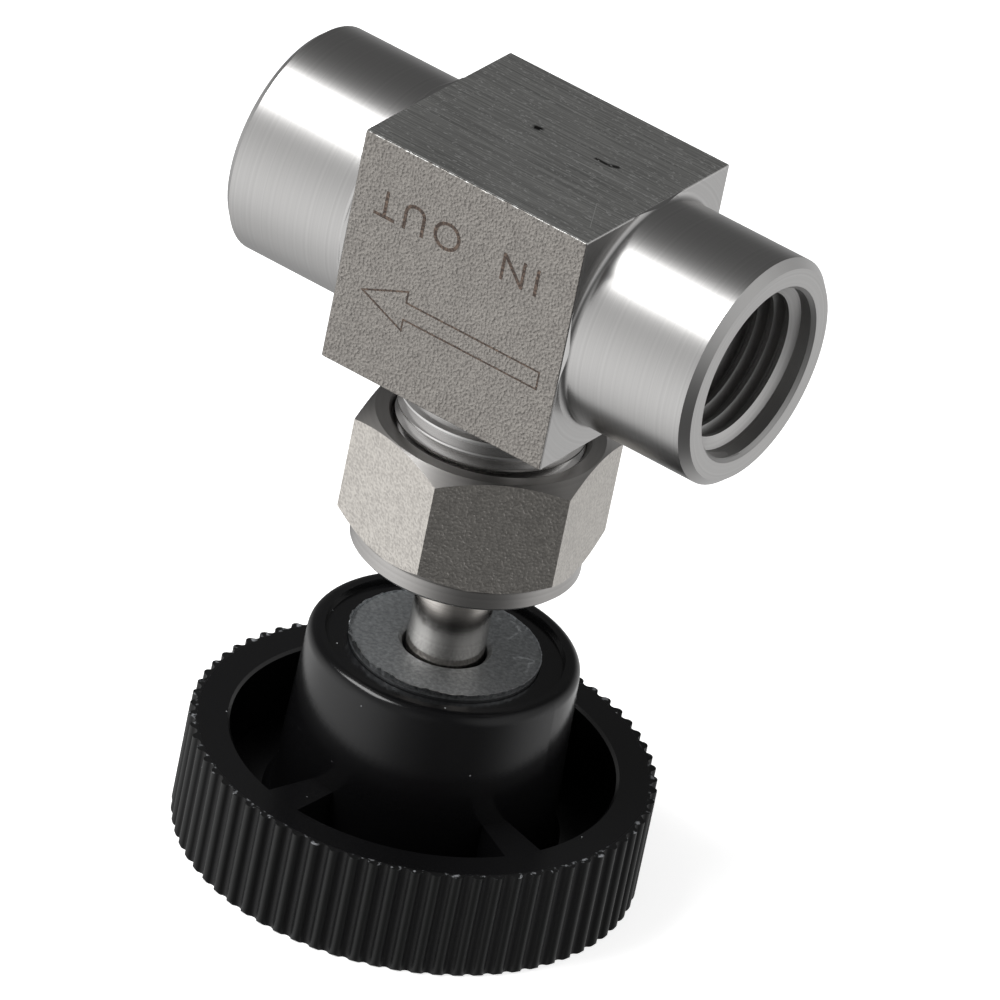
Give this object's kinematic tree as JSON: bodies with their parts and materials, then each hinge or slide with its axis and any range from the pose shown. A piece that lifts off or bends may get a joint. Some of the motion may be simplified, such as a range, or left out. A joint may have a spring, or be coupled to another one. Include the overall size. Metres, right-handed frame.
{
  "type": "needle valve",
  "caption": "Compact stainless needle valve with female-threaded ports at both ends, hexagon packing nut and ribbed black handwheel.",
  "frame": {"origin": "centre of the handwheel's flat outer face, on the stem axis; the valve stands upside down on its handwheel", "axes": "+Z along the stem from the handwheel to the body, +X along the flow axis towards the inlet port, the marked face of the block looks along -Y"},
  "size_m": [0.0408, 0.0344, 0.0591],
  "materials": {
    "body_steel": "bead-blasted block, machined faces and turned port bosses",
    "nut_steel": "bead-blasted flats, turned ends",
    "inner_steel": "fine turned",
    "packing_ptfe": "satin",
    "spring_steel": "dark, hardened",
    "stem_steel": "polished, fine turning lines",
    "wheel_plastic": "moulded, semi-gloss",
    "insert_casting": "as cast, dull grey",
    "plated_steel": "bright zinc plated",
    "cap_plastic": "moulded, fine satin grain"
  },
  "bodies": {
    "valve_body": {"valve_body": "body_steel", "outer_packing_washer": "inner_steel", "outer_packing_ring": "packing_ptfe", "middle_packing_ring": "packing_ptfe", "inner_packing_ring": "packing_ptfe", "inner_packing_washer": "inner_steel"},
    "gland": {"gland_follower": "inner_steel"},
    "packing_nut": {"packing_nut": "nut_steel"},
    "needle": {"needle_tip": "inner_steel", "tip_retaining_ring": "spring_steel"},
    "handwheel": {"stem": "stem_steel", "handwheel": "wheel_plastic", "handwheel_insert": "insert_casting", "fixing_washer": "plated_steel", "spring_washer": "spring_steel", "fixing_screw": "plated_steel", "centre_cap": "cap_plastic"}
  },
  "joints": [
    {"name": "needle_lift", "type": "slide", "parent": "valve_body", "child": "needle", "axis": [0, 0, 1], "range_m": [0, 0.004]},
    {"name": "handwheel_turn", "type": "hinge", "parent": "needle", "child": "handwheel", "pos_m": [0, 0, 0], "axis": [0, 0, 1], "range_deg": [0, 1440]},
    {"name": "gland_slide", "type": "slide", "parent": "valve_body", "child": "gland", "axis": [0, 0, 1], "range_m": [-0.002, 0]},
    {"name": "packing_nut_turn", "type": "hinge", "parent": "gland", "child": "packing_nut", "pos_m": [0, 0, 0], "axis": [0, 0, 1], "range_deg": [-720, 0]}
  ],
  "couplings": [
    {"joint": "handwheel_turn", "follows": "needle_lift", "rad_per_m": 6283.2},
    {"joint": "packing_nut_turn", "follows": "gland_slide", "rad_per_m": 6283.2}
  ]
}
